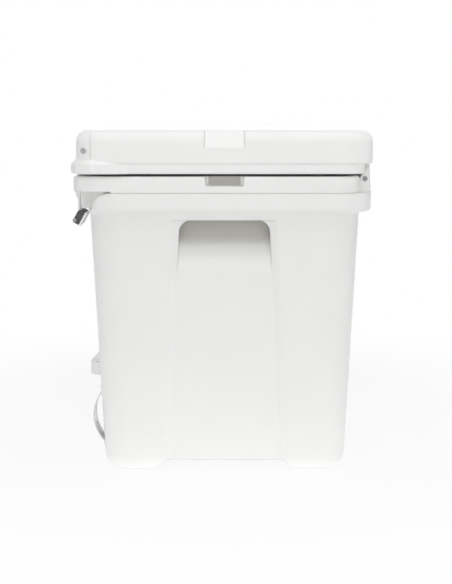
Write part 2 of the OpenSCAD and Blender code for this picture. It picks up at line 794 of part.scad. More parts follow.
module opener_plate() color([0.62, 0.62, 0.62]) at_opener() difference() {
    cross_bar(-backing_t, 0)
        opener_outline(0, 4);
    for (s = [-1, 1])
        rod_y(screw_r + 0.3, -10, 10, 0, s * opener_screw_z);
}

// The bow is a steel strap: an arc between two flanges that lie on the plate
module bow_profile() {
    intersection() {
        translate([bow_r - bow_rise - flange_y, 0])
            difference() {
                circle(r = bow_r);
                circle(r = bow_r - sheet_t);
            }
        translate([-bow_rise - flange_y - 1, -opener_h / 2])
            square([bow_rise + sheet_t + 1, opener_h]);
    }
    for (z = [-opener_h / 2 - opener_foot, opener_h / 2 - sheet_t])
        translate([-flange_y, z])
            square([sheet_t, opener_foot + sheet_t]);
}

module opener_bow() color([0.7, 0.7, 0.7]) at_opener() difference() {
    bar(-opener_w / 2, opener_w / 2)
        bow_profile();
    // mouth that takes a bottle cap, with the tooth left standing at its lower edge
    cross_bar(-bow_rise - flange_y - 1, -flange_y - 1)
        outline([[-9, -12, 3], [-4, -12, 1], [-4, -8, 1.5], [4, -8, 1.5], [4, -12, 1], [9, -12, 3],
            [10, 14, 8], [-10, 14, 8]]);
    for (s = [-1, 1])
        rod_y(screw_r + 0.3, -10, 10, 0, s * opener_screw_z);
}

module opener_screws() color([0.75, 0.75, 0.75]) at_opener()
    for (s = [-1, 1])
        translate([0, -flange_y, s * opener_screw_z])
            rotate([-90, 0, 0])
                screw(screw_r, 4, 2, opener_screw_l);

// ---------- wheels ----------

// Turns a wheel piece so that its axis lies along Y, outer face towards -Y
module at_wheel(side)
    placed()
        mirror([0, side, 0])
            translate([axle_x, -wheel_out, axle_z])
                rotate([-90, 0, 0])
                    children();

module axle() color([0.6, 0.6, 0.61]) placed()
    rod_y(axle_r, -wheel_out - 3, wheel_out + 3, axle_x, axle_z);

module axle_washers() color([0.68, 0.68, 0.69])
    for (side = [0, 1])
        at_wheel(side)
            difference() {
                translate([0, 0, wheel_w + clear])
                    cylinder(r = axle_r + 7, h = arch_side - clear);
                translate([0, 0, wheel_w - 1])
                    cylinder(r = axle_r, h = arch_side + 2);
            }

module tyre(side) color([0.13, 0.13, 0.13]) at_wheel(side) difference() {
    rotate_extrude()
        outline([[hub_r, 1.5, 0], [wheel_r - 5, 1, 3], [wheel_r, 7, 6], [wheel_r, wheel_w - 7, 6],
            [wheel_r - 5, wheel_w - 1, 3], [hub_r, wheel_w - 1.5, 0]]);
    for (a = [0:15:345])
        rotate(a)
            for (s = [-1, 1])
                translate([wheel_r - 1.6, 0, wheel_w / 2 + s * wheel_w / 4])
                    rotate([s * 28, 0, 0])
                        translate([0, -1.3, -wheel_w / 4])
                            cube([4, 2.6, wheel_w / 2]);
}

module wheel(side) color([0.88, 0.88, 0.87]) at_wheel(side) difference() {
    union() {
        rotate_extrude() {
            outline([[hub_r - 5, 3, 1], [hub_r - 0.1, 1.5, 0],
                [hub_r - 0.1, wheel_w - 1.5, 0], [hub_r - 5, wheel_w - 3, 1]]);
            outline([[bush_r, 0.5, 0], [bush_r + 7, 0.5, 2],
                [bush_r + 7, wheel_w - 0.5, 2], [bush_r, wheel_w - 0.5, 0]]);
            translate([bush_r + 5, wheel_w / 2 - 3])
                square([hub_r - bush_r - 9, 6]);
        }
        for (a = [0:60:300])
            rotate(a)
                translate([bush_r + 5, -3, 5])
                    cube([hub_r - bush_r - 8.5, 6, wheel_w - 10]);
    }
    for (a = [30:60:330])
        rotate(a)
            translate([(hub_r + bush_r + 2) / 2, 0, -1])
                cylinder(r = (hub_r - bush_r) / 2 - 7, h = wheel_w + 2);
}

module wheel_bush(side) color([0.75, 0.7, 0.55]) at_wheel(side) difference() {
    translate([0, 0, 0.2])
        cylinder(r = bush_r, h = wheel_w - 0.4);
    cylinder(r = axle_r + running_fit, h = wheel_w);
}

module axle_cap(side) color([0.8, 0.8, 0.8]) at_wheel(side) difference() {
    rotate_extrude()
        outline([[0, -5.5, 0], [axle_r + 5, -5.5, 4.5], [axle_r + 5, -0.3, 0], [0, -0.3, 0]]);
    translate([0, 0, -3])
        cylinder(r = axle_r, h = 6);
}

// ---------- tow handle ----------

module both_tubes(r, z0, z1)
    for (s = [-1, 1])
        translate([tube_x, s * tube_y, z0])
            cylinder(r = r, h = z1 - z0);

module hollow_tubes(r, t, z0, z1) difference() {
    both_tubes(r, z0, z1);
    both_tubes(r - t, z0 - 1, z1 + 1);
}

module handle_tubes_fixed() color([0.2, 0.2, 0.21]) placed()
    hollow_tubes(tube_r, tube_t, tube_z, tube_z + tube_l);

module handle_tubes_middle() color([0.66, 0.67, 0.68]) placed()
    hollow_tubes(middle_r, tube_t, tube_z + 6, middle_top);

module handle_tubes_inner() color([0.72, 0.73, 0.74]) placed()
    hollow_tubes(inner_r, tube_t, tube_z + 12, grip_bar_z + 14);

// Ring-shaped collars: one on each fixed tube, one on each middle tube
module collar_pair(z, hole_r) difference() {
    for (s = [-1, 1])
        translate([tube_x, s * tube_y, z])
            rotate_extrude()
                outline([[0, 0, 0], [tube_r + 1.2, 0, 1], [tube_r + 1.2, collar_h, 2], [0, collar_h, 0]]);
    both_tubes(hole_r, z - 1, z + collar_h + 1);
}

// Bracket that clamps both fixed tubes and sits flat on the end recess
module bracket(z) {
    inner = -wall_x(z) + recess_d;
    seat = -wall_x(z + bracket_h) + recess_d;
    difference() {
        union() {
            translate([0, 0, z])
                linear_extrude(bracket_h)
                    outline([[tube_x - tube_r - 3, -tube_y - tube_r - 4, 8],
                        [tube_x + tube_r + 2, -tube_y - tube_r - 4, 4],
                        [tube_x + tube_r + 2, tube_y + tube_r + 4, 4],
                        [tube_x - tube_r - 3, tube_y + tube_r + 4, 8]]);
            translate([0, 0, z])
                linear_extrude(bracket_h)
                    polygon([[tube_x, -tube_y], [inner, -tube_y + 8], [inner, tube_y - 8], [tube_x, tube_y]]);
        }
        both_tubes(tube_r, z - 1, z + bracket_h + 1);
        cross_bar(-tube_y, tube_y)
            polygon([[inner, z], [seat, z + bracket_h], [seat + 5, z + bracket_h], [inner + 5, z]]);
        for (s = [-1, 1]) {
            rod_x(screw_r + 0.3, tube_x - 40, 0, s * bracket_screw_y, z + bracket_h / 2);
            rod_x(6, tube_x - 40, tube_x + 4, s * bracket_screw_y, z + bracket_h / 2);
        }
    }
}

module handle_bracket_top() color([0.16, 0.16, 0.17]) placed() bracket(bracket_top_z);

module handle_bracket_foot() color([0.16, 0.16, 0.17]) placed() bracket(bracket_foot_z);

module bracket_screws() color([0.7, 0.7, 0.71]) placed()
    for (s = [-1, 1])
        for (z = [bracket_top_z, bracket_foot_z])
            translate([tube_x + 4, s * bracket_screw_y, z + bracket_h / 2])
                rotate([0, 90, 0])
                    screw(screw_r, 4.5, 2.4, bracket_screw_l);

module handle_collars() color([0.16, 0.16, 0.17]) placed() collar_pair(tube_z + tube_l, middle_r + fit_gap);

module middle_collars() color([0.16, 0.16, 0.17]) placed() difference() {
    collar_pair(middle_top - collar_h + 2, inner_r + fit_gap);
    both_tubes(middle_r, tube_z, middle_top);
}

// Grip bar over both inner tubes, rounded in the end view and in plan
module handle_grip() color([0.14, 0.14, 0.15]) placed() difference() {
    intersection() {
        cross_bar(-grip_bar_y, grip_bar_y)
            outline([for (c = [[-1, 0, 8], [1, 0, 8], [1, 2, 11], [-1, 2, 11]])
                [tube_x + c[0] * grip_bar_r, grip_bar_z + c[1] * grip_bar_r, c[2]]]);
        translate([0, 0, grip_bar_z - 1])
            linear_extrude(2 * grip_bar_r + 2)
                outline([for (c = [[-1, -1], [1, -1], [1, 1], [-1, 1]])
                    [tube_x + c[0] * grip_bar_r, c[1] * grip_bar_y, 12]]);
    }
    both_tubes(inner_r, grip_bar_z - 1, grip_bar_z + 14);
    box(tube_x - button_w / 2 - clear, tube_x + button_w / 2 + clear,
        -button_l / 2 - clear, button_l / 2 + clear,
        grip_bar_z + grip_bar_r - 4, grip_bar_z + 3 * grip_bar_r);
}

module release_button() color([0.55, 0.1, 0.08]) placed()
    cross_bar(-button_l / 2, button_l / 2)
        outline([[tube_x - button_w / 2, button_z, 1], [tube_x + button_w / 2, button_z, 1],
            [tube_x + button_w / 2, grip_bar_z + 2 * grip_bar_r + 2, 2.5],
            [tube_x - button_w / 2, grip_bar_z + 2 * grip_bar_r + 2, 2.5]]);

// Coil spring under the button, drawn as its sleeve
module button_spring() color([0.7, 0.7, 0.7]) placed() difference() {
    translate([tube_x, 0, grip_bar_z + grip_bar_r - 3.7])
        cylinder(r = 3.5, h = button_z - grip_bar_z - grip_bar_r + 3.4);
    translate([tube_x, 0, grip_bar_z])
        cylinder(r = 2.5, h = 60);
}

tub();
lid();
gasket();
hinge_rod();
latch_pin(0);  // latch_pin_right
latch_pin(1);  // latch_pin_left
latch_strap(0);  // latch_strap_right
latch_grip(0);  // latch_grip_right
latch_plate(0);  // latch_plate_right
grip_pin(0);  // grip_pin_right
latch_strap(1);  // latch_strap_left
latch_grip(1);  // latch_grip_left
latch_plate(1);  // latch_plate_left
grip_pin(1);  // grip_pin_left
drain_elbow();
drain_washer();
drain_nut();
drain_cap();
cap_seal();
opener_plate();
opener_bow();
opener_screws();
axle();
axle_washers();
wheel(0);  // wheel_front
tyre(0);  // tyre_front
wheel_bush(0);  // wheel_bush_front
axle_cap(0);  // axle_cap_front
wheel(1);  // wheel_rear
tyre(1);  // tyre_rear
wheel_bush(1);  // wheel_bush_rear
axle_cap(1);  // axle_cap_rear
handle_bracket_top();
handle_bracket_foot();
bracket_screws();
handle_tubes_fixed();
handle_collars();
handle_tubes_middle();
middle_collars();
handle_tubes_inner();
handle_grip();
release_button();
button_spring();
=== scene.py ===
"""Finishes the hard cooler on wheels: moulded white shell, strap latches, drain, bottle
opener, wheels and a telescopic tow handle. Lengths are in metres, Z is up."""

import json
import math

import bpy
import numpy as np
from bpy.props import FloatProperty, FloatVectorProperty, PointerProperty
from bpy.types import Operator, Panel, PropertyGroup
from mathutils import Euler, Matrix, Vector


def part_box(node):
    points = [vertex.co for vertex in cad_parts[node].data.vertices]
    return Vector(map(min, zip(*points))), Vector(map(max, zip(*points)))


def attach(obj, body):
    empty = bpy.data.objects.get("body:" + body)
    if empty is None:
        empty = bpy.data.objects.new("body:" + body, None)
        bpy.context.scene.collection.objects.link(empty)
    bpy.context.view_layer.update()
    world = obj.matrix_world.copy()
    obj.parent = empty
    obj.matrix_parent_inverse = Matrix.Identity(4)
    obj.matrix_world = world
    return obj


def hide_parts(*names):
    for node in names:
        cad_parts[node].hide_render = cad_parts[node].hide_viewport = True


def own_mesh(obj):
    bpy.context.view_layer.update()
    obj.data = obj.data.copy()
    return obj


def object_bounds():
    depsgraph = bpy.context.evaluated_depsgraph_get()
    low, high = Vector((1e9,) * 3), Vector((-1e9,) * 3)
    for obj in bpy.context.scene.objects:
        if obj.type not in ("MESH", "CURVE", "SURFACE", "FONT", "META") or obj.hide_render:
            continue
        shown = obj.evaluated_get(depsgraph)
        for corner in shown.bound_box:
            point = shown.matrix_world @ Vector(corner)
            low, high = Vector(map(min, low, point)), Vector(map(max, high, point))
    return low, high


bl_info = {
    "name": "Hard cooler on wheels",
    "version": (1, 0, 0),
    "blender": (4, 5, 0),
    "location": "View3D > Sidebar > Cooler",
    "description": "Dresses the frame of a wheeled hard cooler with its finishes and small pieces",
    "category": "Object",
}

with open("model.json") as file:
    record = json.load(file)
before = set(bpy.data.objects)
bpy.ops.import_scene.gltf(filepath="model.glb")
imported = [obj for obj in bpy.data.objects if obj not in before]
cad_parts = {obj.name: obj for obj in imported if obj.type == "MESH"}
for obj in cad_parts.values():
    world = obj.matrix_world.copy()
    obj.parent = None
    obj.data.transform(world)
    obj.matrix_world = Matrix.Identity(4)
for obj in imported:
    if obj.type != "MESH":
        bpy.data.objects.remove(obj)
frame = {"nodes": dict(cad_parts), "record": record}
nodes = frame["nodes"]
written = {m["slot"]: m["base_color"] for m in frame["record"]["materials"]}
opening = {o["name"]: o["box_m"] for o in frame["record"]["physics"]["openings"]}
cad_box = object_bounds()


# ---------- sizes and colours a user would change ----------


def colour(name, description, default):
    """A colour setting. Its default is mostly the one that the record gives a slot."""
    return FloatVectorProperty(
        name=name,
        description=description,
        subtype="COLOR",
        size=3,
        min=0,
        max=1,
        default=default,
    )


def length(name, description, default, least=0.0):
    """A length setting in metres."""
    return FloatProperty(
        name=name,
        description=description,
        unit="LENGTH",
        subtype="DISTANCE",
        precision=5,
        min=least,
        default=default,
    )


def share(name, description, default, most=1.0):
    """A setting without a unit, from 0 up."""
    return FloatProperty(
        name=name, description=description, subtype="FACTOR", min=0, max=most, default=default
    )


def power(name, description, default):
    """The power of a lamp in watts."""
    return FloatProperty(
        name=name, description=description + " in watts", min=0, default=default
    )


class ShellSettings(PropertyGroup):
    """Moulded shell, its seal and the shade painted deep in its holds and slots"""

    tub: colour("Tub colour", "Colour of the moulded tub", written["shell"])
    lid: colour("Lid colour", "Colour of the moulded lid", written["lid_shell"])
    gasket: colour("Gasket colour", "Colour of the lid's seal", written["gasket_rubber"])
    roughness: share("Roughness", "How matt the moulded plastic is", 0.4)
    pebble: length("Pebble size", "Size of the fine pebbling the mould leaves", 0.0011, 0.0002)
    pebble_depth: length("Pebble depth", "Height of that pebbling", 0.00005)
    wave: length("Waviness size", "Size of the slow waves in the moulded skin", 0.03, 0.002)
    wave_depth: length("Waviness depth", "Height of those waves", 0.00012)
    edge: length("Edge radius", "Radius that softens the moulded edges", 0.003)
    # Painted shade: a grey tone mixed into the tub's colour deep in the hand holds and the rim
    # slots, in place of the shade that falls there.
    film: colour("Hold tone", "Tone of the film deep in holds and slots", (0.47, 0.455, 0.42))
    film_share: share("Hold film", "How strongly that film shows", 0.9)


class MetalSettings(PropertyGroup):
    """Steel parts and their brushing"""

    steel: colour("Steel colour", "Colour of the pressed steel", written["opener_steel"])
    chrome: colour("Pin colour", "Colour of the polished pins", written["pin_chrome"])
    grain: length("Brushing width", "Width of one brushed line", 0.00025, 0.00005)
    grain_depth: length("Brushing depth", "Depth of the brushed lines", 0.000006)


class WheelSettings(PropertyGroup):
    """Wheels and the dust on them"""

    tyre: colour("Tyre colour", "Colour of the tyres", written["tyre_rubber"])
    hub: colour("Hub colour", "Colour of the wheel hubs", written["hub_plastic"])
    dust: share("Dust", "How much dust lies on the treads", 0.25)
    dust_tone: colour("Dust tone", "Colour of that dust", (0.42, 0.38, 0.33))


class HandleSettings(PropertyGroup):
    """Tow handle and its button's spring"""

    tube: colour("Tube colour", "Colour of the sliding tubes", written["tube_alu"])
    grip: colour("Grip colour", "Colour of the soft grip", written["grip_soft"])
    button: colour("Button colour", "Colour of the release button", written["button_plastic"])
    wire: length("Spring wire", "Thickness of the button spring's wire", 0.0007, 0.0002)
    coils: FloatProperty(name="Coils", description="Turns of the spring", min=2, default=5)


class StageSettings(PropertyGroup):
    """Camera and light"""

    distance: length("Camera distance", "From the cooler's plain end to the camera", 1.625)
    aside: length("Camera offset", "How far the camera stands towards the back", 0.0102)
    height: length("Camera height", "Height of the camera above the floor", 0.5086)
    pitch: FloatProperty(
        name="Camera pitch",
        description="How far the camera looks down",
        unit="ROTATION",
        subtype="ANGLE",
        default=math.radians(8.5),
    )
    lens: FloatProperty(
        name="Lens", description="Focal length in millimetres", min=1, default=74.24
    )
    sky: share("Room light", "Brightness of the white room", 0.34, 4)
    key: power("Overhead light", "Power of the soft light overhead", 20)
    fill: power("Front light", "Power of the soft light behind the camera", 16)
    side: power("Side light", "Power of each soft light beside the cooler", 5)
    glow: share("Floor glow", "Light that the floor throws back near the cooler", 0.33, 4)


SETTINGS = {
    "cooler_shell": ShellSettings,
    "cooler_metal": MetalSettings,
    "cooler_wheels": WheelSettings,
    "cooler_handle": HandleSettings,
    "cooler_stage": StageSettings,
}


# ---------- wiring of shader nodes ----------


class Wiring:
    """Adds nodes to a shader tree. An input is given by its name, with _ for a space, or as i
    and its number, and takes a value or the output socket that feeds it."""

    def __init__(self, tree):
        self.tree = tree

    def add(self, kind, attributes=None, **inputs):
        """A new node of that kind, with its settings and inputs."""
        node = self.tree.nodes.new("ShaderNode" + kind)
        for name, value in (attributes or {}).items():
            setattr(node, name, value)
        for name, value in inputs.items():
            number = name[1:]
            key = int(number) if number.isdigit() else name.replace("_", " ")
            self.feed(node.inputs[key], value)
        return node

    def feed(self, socket, value):
        """Links another node's output to a socket, or sets the socket to a value."""
        if isinstance(value, bpy.types.NodeSocket):
            self.tree.links.new(value, socket)
        else:
            socket.default_value = value

    def math(self, operation, a, b=0.0, clamp=False):
        """An operation on two numbers. Clamp keeps its result between 0 and 1."""
        settings = {"operation": operation, "use_clamp": clamp}
        return self.add("Math", settings, i0=a, i1=b).outputs[0]

    def vector(self, operation, a, b=(0, 0, 0)):
        """A vector operation. A dot product or a length gives a number."""
        node = self.add("VectorMath", {"operation": operation}, i0=a, i1=b)
        return node.outputs["Value" if operation in ("DOT_PRODUCT", "LENGTH") else "Vector"]

    def away(self, value, middle):
        """Distance of a value from a middle: the size of their difference."""
        return self.math("ABSOLUTE", self.math("SUBTRACT", value, middle))

    def step(self, value, low, high, to_low=0.0, to_high=1.0):
        """Soft step: to_low where value is low, to_high where it is high, and an S between."""
        node = self.add(
            "MapRange",
            {"interpolation_type": "SMOOTHSTEP"},
            Value=value,
            From_Min=low,
            From_Max=high,
            To_Min=to_low,
            To_Max=to_high,
        )
        return node.outputs[0]

    def noise(self, coordinates, scale, detail=2.0, roughness=0.5):
        """Noise from 0 to 1 whose grains are about one over scale long."""
        node = self.add(
            "TexNoise", None, Vector=coordinates, Scale=scale, Detail=detail, Roughness=roughness
        )
        return node.outputs["Fac"]

    def parts(self, vector):
        """The X, Y and Z of a vector."""
        return self.add("SeparateXYZ", None, Vector=vector).outputs

    def facing(self, axis):
        """How far a face looks along an axis: that part of its own normal."""
        return self.parts(self.add("NewGeometry").outputs["Normal"])[axis]

    def product(self, masks):
        """All the masks multiplied together."""
        whole = masks[0]
        for mask in masks[1:]:
            whole = self.math("MULTIPLY", whole, mask)
        return whole

    def group(self, make, **inputs):
        """The node group that make builds, with these inputs."""
        return self.add("Group", {"node_tree": shared(make)}, **inputs)

    def shown(self):
        """1 for rays of the camera, in reflections and through glass, and 0 for the rest."""
        path = self.add("LightPath").outputs
        mirrored = self.math("MAXIMUM", path["Is Glossy Ray"], path["Is Transmission Ray"])
        return self.math("MAXIMUM", path["Is Camera Ray"], mirrored)


def shared(make):
    """A node group that several materials use. It has its maker's name and is built once."""
    name = make.__name__.replace("_", " ").capitalize()
    return bpy.data.node_groups.get(name) or make(name)


def effect(name, inputs, outputs):
    """An empty node group with named sockets: its wiring, its input node and its output node."""
    tree = bpy.data.node_groups.new(name, "ShaderNodeTree")
    for direction, sockets in (("INPUT", inputs), ("OUTPUT", outputs)):
        for label, kind in sockets.items():
            tree.interface.new_socket(
                name=label, in_out=direction, socket_type="NodeSocket" + kind
            )
    given = tree.nodes.new("NodeGroupInput").outputs
    out = tree.nodes.new("NodeGroupOutput").inputs
    return Wiring(tree), given, out


def moulded_skin(name):
    """Skin of moulded plastic. Height is the distance to the nearest pebble's middle times the
    pebble depth, plus a slow noise times the wave depth. Mottle is a noise about three waves
    long, and sheen one of half a wave."""
    w, given, out = effect(
        name,
        {
            "Coordinates": "Vector",
            "Pebble Size": "Float",
            "Pebble Depth": "Float",
            "Wave Size": "Float",
            "Wave Depth": "Float",
        },
        {"Height": "Float", "Mottle": "Float", "Sheen": "Float"},
    )
    place, wave = given["Coordinates"], given["Wave Size"]
    pebbles = w.add(
        "TexVoronoi",
        {"feature": "SMOOTH_F1"},
        Vector=place,
        Scale=w.math("DIVIDE", 1.0, given["Pebble Size"]),
        Smoothness=0.6,
    )
    pebbling = w.math("MULTIPLY", pebbles.outputs["Distance"], given["Pebble Depth"])
    waves = w.noise(place, w.math("DIVIDE", 1.0, wave), 3.0)
    height = w.math("ADD", pebbling, w.math("MULTIPLY", waves, given["Wave Depth"]))
    w.feed(out["Height"], height)
    w.feed(out["Mottle"], w.noise(place, w.math("DIVIDE", 0.3, wave), 4.0, 0.6))
    w.feed(out["Sheen"], w.noise(place, w.math("DIVIDE", 2.0, wave), 3.0, 0.7))
    return w.tree


def brushed_lines(name):
    """Fine lines along one direction, as brushing, drawing or turning leaves them: noise of the
    place times Stretch, which is one over a line's length along each axis. Bands are the same
    at an eighth of the scale."""
    w, given, out = effect(
        name, {"Coordinates": "Vector", "Stretch": "Vector"}, {"Lines": "Float", "Bands": "Float"}
    )
    stretched = w.vector("MULTIPLY", given["Coordinates"], given["Stretch"])
    w.feed(out["Lines"], w.noise(stretched, 1.0, 3.0, 0.7))
    w.feed(out["Bands"], w.noise(stretched, 0.12, 2.0))
    return w.tree


def worn_edges(name):
    """Softened edges: the normal averaged over the radius, and a mask that grows with the angle
    between it and the face's own normal, broken up by a noise of the patch size."""
    w, given, out = effect(
        name,
        {"Coordinates": "Vector", "Radius": "Float", "Patch Size": "Float"},
        {"Normal": "Vector", "Edge": "Float"},
    )
    rounded = w.add("Bevel", {"samples": 4}, Radius=given["Radius"]).outputs["Normal"]
    flat = w.add("NewGeometry").outputs["Normal"]
    turned = w.math("SUBTRACT", 1.0, w.vector("DOT_PRODUCT", rounded, flat))
    patches = w.math("DIVIDE", 1.0, given["Patch Size"])
    broken = w.step(w.noise(given["Coordinates"], patches, 4.0, 0.65), 0.35, 0.65)
    w.feed(out["Normal"], rounded)
    w.feed(out["Edge"], w.math("MULTIPLY", w.step(turned, 0.02, 0.25), broken))
    return w.tree


def settled_dust(name):
    """Dust: patches of noise, times how far the face looks up, times the amount."""
    w, given, out = effect(
        name,
        {"Coordinates": "Vector", "Patch Size": "Float", "Amount": "Float"},
        {"Dust": "Float"},
    )
    noise = w.noise(given["Coordinates"], w.math("DIVIDE", 1.0, given["Patch Size"]), 5.0, 0.6)
    lying = w.step(w.facing("Z"), -0.4, 1.0, 0.25, 1.0)
    patches = w.math("MULTIPLY", w.step(noise, 0.35, 0.75), lying)
    w.feed(out["Dust"], w.math("MULTIPLY", patches, given["Amount"], clamp=True))
    return w.tree


class Finish:
    """One material with a Principled shader, and the wiring to detail it."""

    def __init__(self, name, base):
        self.material = bpy.data.materials.new(name)
        self.material.use_nodes = True
        tree = self.material.node_tree
        self.w = Wiring(tree)
        self.shader = next(n for n in tree.nodes if n.type == "BSDF_PRINCIPLED")
        self.place = self.w.add("TexCoord").outputs["Object"]
        self.set(Base_Color=(*base, 1.0))

    def set(self, **values):
        """Sets the shader's inputs, by name with _ for a space."""
        for name, value in values.items():
            self.w.feed(self.shader.inputs[name.replace("_", " ")], value)

    def over(self, mask, towards, amount=1.0):
        """Takes the base colour that is there towards another one, by mask times amount."""
        base = self.shader.inputs["Base Color"]
        under = base.links[0].from_socket if base.is_linked else tuple(base.default_value)
        mix = self.w.add(
            "Mix",
            {"data_type": "RGBA", "blend_type": "MIX"},
            i0=self.w.math("MULTIPLY", mask, amount),
            i6=under,
            i7=(*towards, 1.0),
        )
        self.set(Base_Color=mix.outputs[2])

    def rough(self, least, most, mask):
        """Roughness from least to most, as mask goes from a quarter to three quarters."""
        self.set(Roughness=self.w.step(mask, 0.25, 0.75, least, most))

    def relief(self, height, normal):
        """Bump over a normal. Its height is in metres."""
        bump = self.w.add("Bump", None, Strength=1.0, Distance=1.0, Height=height, Normal=normal)
        self.set(Normal=bump.outputs[0])


def scaled(base, by):
    """A colour with each part times a number, up to 1."""
    return tuple(min(1.0, c * by) for c in base)


def moulded(
    name,
    base,
    roughness,
    pebble,
    pebble_depth,
    mottle=0.94,
    rub=1.15,
    wear=0.2,
    wave=0.02,
    wave_depth=0.00005,
    edge=0.0008,
):
    """Moulded plastic: its tone times mottle in patches, and times rub plus a little white on
    rubbed edges, as strongly as wear. Pebbles and waves of these sizes raise its skin."""
    f = Finish(name, base)
    skin = f.w.group(
        moulded_skin,
        Coordinates=f.place,
        Pebble_Size=pebble,
        Pebble_Depth=pebble_depth,
        Wave_Size=wave,
        Wave_Depth=wave_depth,
    ).outputs
    edges = f.w.group(worn_edges, Coordinates=f.place, Radius=edge, Patch_Size=0.012).outputs
    f.over(f.w.step(skin["Mottle"], 0.35, 0.7), scaled(base, mottle))
    rubbed = tuple(min(1.0, c * rub + 0.02) for c in base)
    f.over(edges["Edge"], rubbed, wear)
    f.rough(roughness - 0.06, roughness + 0.08, skin["Sheen"])
    f.relief(skin["Height"], edges["Normal"])
    f.set(IOR=1.5)
    return f


def metal(name, base, roughness, stretch, depth, sawn=None):
    """Bare metal: darker along fine lines and bands, brighter on its edges, and rougher in the
    lines. A pin or a rod that was sawn to length along an axis has darker ends: there the
    normal lies along it."""
    f = Finish(name, base)
    lines = f.w.group(brushed_lines, Coordinates=f.place, Stretch=stretch).outputs
    edges = f.w.group(worn_edges, Coordinates=f.place, Radius=0.0004, Patch_Size=0.004).outputs
    f.over(f.w.step(lines["Lines"], 0.3, 0.7), scaled(base, 0.8), 0.6)
    f.over(f.w.step(lines["Bands"], 0.4, 0.7), scaled(base, 0.9), 0.5)
    f.over(edges["Edge"], scaled(base, 1.15), 0.3)
    if sawn:
        end = f.w.math("ABSOLUTE", f.w.facing(sawn))
        f.over(f.w.step(end, 0.9, 0.98), scaled(base, 0.22))
    f.rough(roughness * 0.75, roughness * 1.35, lines["Lines"])
    f.relief(f.w.math("MULTIPLY", lines["Lines"], depth), edges["Normal"])
    f.set(Metallic=1.0)
    return f


def along(axis, width, run):
    """Stretch for lines of that width that run along one axis: one over run on it, and one
    over width on the others."""
    return tuple(1 / (run if other == axis else width) for other in "xyz")


# ---------- shapes ----------


def grid_faces(rows, columns):
    """Quads between the points of a grid of rows x columns, whose columns close on themselves."""
    i = np.arange(rows - 1)[:, None]
    j = np.arange(columns)[None, :]
    ni, nj = i + 1, (j + 1) % columns
    corners = (i * columns + j, i * columns + nj, ni * columns + nj, ni * columns + j)
    return [tuple(f) for f in np.stack(corners, -1).reshape(-1, 4).tolist()]


def mesh_object(name, points, faces, material):
    """A mesh object at the origin with one material."""
    mesh = bpy.data.meshes.new(name)
    mesh.from_pydata(points.tolist(), [], faces)
    mesh.update()
    mesh.materials.append(material)
    obj = bpy.data.objects.new(name, mesh)
    bpy.context.scene.collection.objects.link(obj)
    return obj


def piece(name, points, faces, finish, body):
    """A smooth mesh piece that rides on a body and takes its finish from a slot."""
    obj = mesh_object(name, points, faces, finish.material)
    obj.data.shade_smooth()
    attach(obj, body)
    return obj


def tube_along(path, radius, sides):
    """Round tube carried along a path: at each point a circle of that radius stands square to
    the path, in the plane of the path's side direction and its cross product. Flat ends."""
    ahead = np.gradient(path, axis=0)
    ahead /= np.linalg.norm(ahead, axis=1, keepdims=True)
    side = np.cross(ahead, [0.0, 0.0, 1.0])
    side /= np.linalg.norm(side, axis=1, keepdims=True)
    up = np.cross(side, ahead)
    turn = np.linspace(0, 2 * math.pi, sides, endpoint=False)[None, :, None]
    ring = side[:, None] * np.cos(turn) + up[:, None] * np.sin(turn)
    points = (path[:, None] + radius * ring).reshape(-1, 3)
    last = (len(path) - 1) * sides
    ends = [tuple(range(sides))[::-1], tuple(range(last, last + sides))]
    return points, grid_faces(len(path), sides) + ends


def pair(name, ends=("right", "left")):
    """Names of the nodes that a pair has, one at each end."""
    return [f"{name}_{end}" for end in ends]


def dress(names, finish):
    """Gives CAD nodes a finish. Their shape stays as it is."""
    for name in names:
        for holder in nodes[name].material_slots:
            holder.material = finish.material


# ---------- pieces ----------

# Settings of the shell that its plastic takes as they are.
SKIN = ("roughness", "pebble", "pebble_depth", "wave", "wave_depth", "edge")

# Steps of the masks of the painted shade. Each names a face of the opening, then how far beyond
# that face, outwards or upwards, the painted shade is gone, and how far beyond it the painted
# shade is whole.
HOLD_PAINTED_SHADE = (
    ("inner", 0.016, 0.002),
    ("floor", -0.02, -0.002),
    ("top", 0.007, 0.006),
    ("inner", -0.012, -0.011),
    ("side", 0.05, 0.04),
)
SLOT_PAINTED_SHADE = (
    ("inner", 0.018, 0.004),
    ("inner", -0.004, -0.003),
    ("side", 0.0025, 0.0015),
    ("floor", -0.003, -0.001),
)


class COOLER_OT_shell(Operator):
    """Moulded tub and lid, and the seal between them"""

    bl_idname = "cooler.shell"
    bl_label = "Shell"

    def execute(self, context):
        s = context.scene.cooler_shell
        skin = {key: getattr(s, key) for key in SKIN}
        skin |= {"mottle": 0.985, "rub": 1.02, "wear": 0.25}
        tub = moulded("Tub shell", s.tub, **skin)
        # Painted shade: deep in the hand holds and the rim slots the tub's colour goes towards a
        # grey tone, where shade falls.
        for name, steps in (("hand_hold", HOLD_PAINTED_SHADE), ("rim_slot", SLOT_PAINTED_SHADE)):
            tub.over(self.film(tub, name, steps), s.film, s.film_share)
        dress(["tub"], tub)
        dress(["lid"], moulded("Lid shell", s.lid, **skin))
        seal = moulded(
            "Gasket rubber",
            s.gasket,
            roughness=0.75,
            pebble=0.0006,
            pebble_depth=0.00003,
            mottle=0.8,
        )
        dress(["gasket"], seal)
        return {"FINISHED"}

    def film(self, finish, name, steps):
        """Mask of the painted shade in both openings of that name: soft steps multiplied together.
        Both ends of the tub are taken as one, by the distance from its middle."""
        (inner, _, floor), (_, side, top) = opening[f"{name}_right"]
        middle = (inner + opening[f"{name}_left"][1][0]) / 2
        centre = (opening[f"{name}_right"][0][1] + side) / 2
        w = finish.w
        place = w.parts(finish.place)
        faces = {
            "inner": (w.away(place["X"], middle), inner - middle),
            "side": (w.away(place["Y"], centre), side - centre),
            "floor": (place["Z"], floor),
            "top": (place["Z"], top),
        }
        masks = []
        for face, gone, whole in steps:
            distance, start = faces[face]
            masks.append(w.step(distance, start + gone, start + whole))
        return w.product(masks)


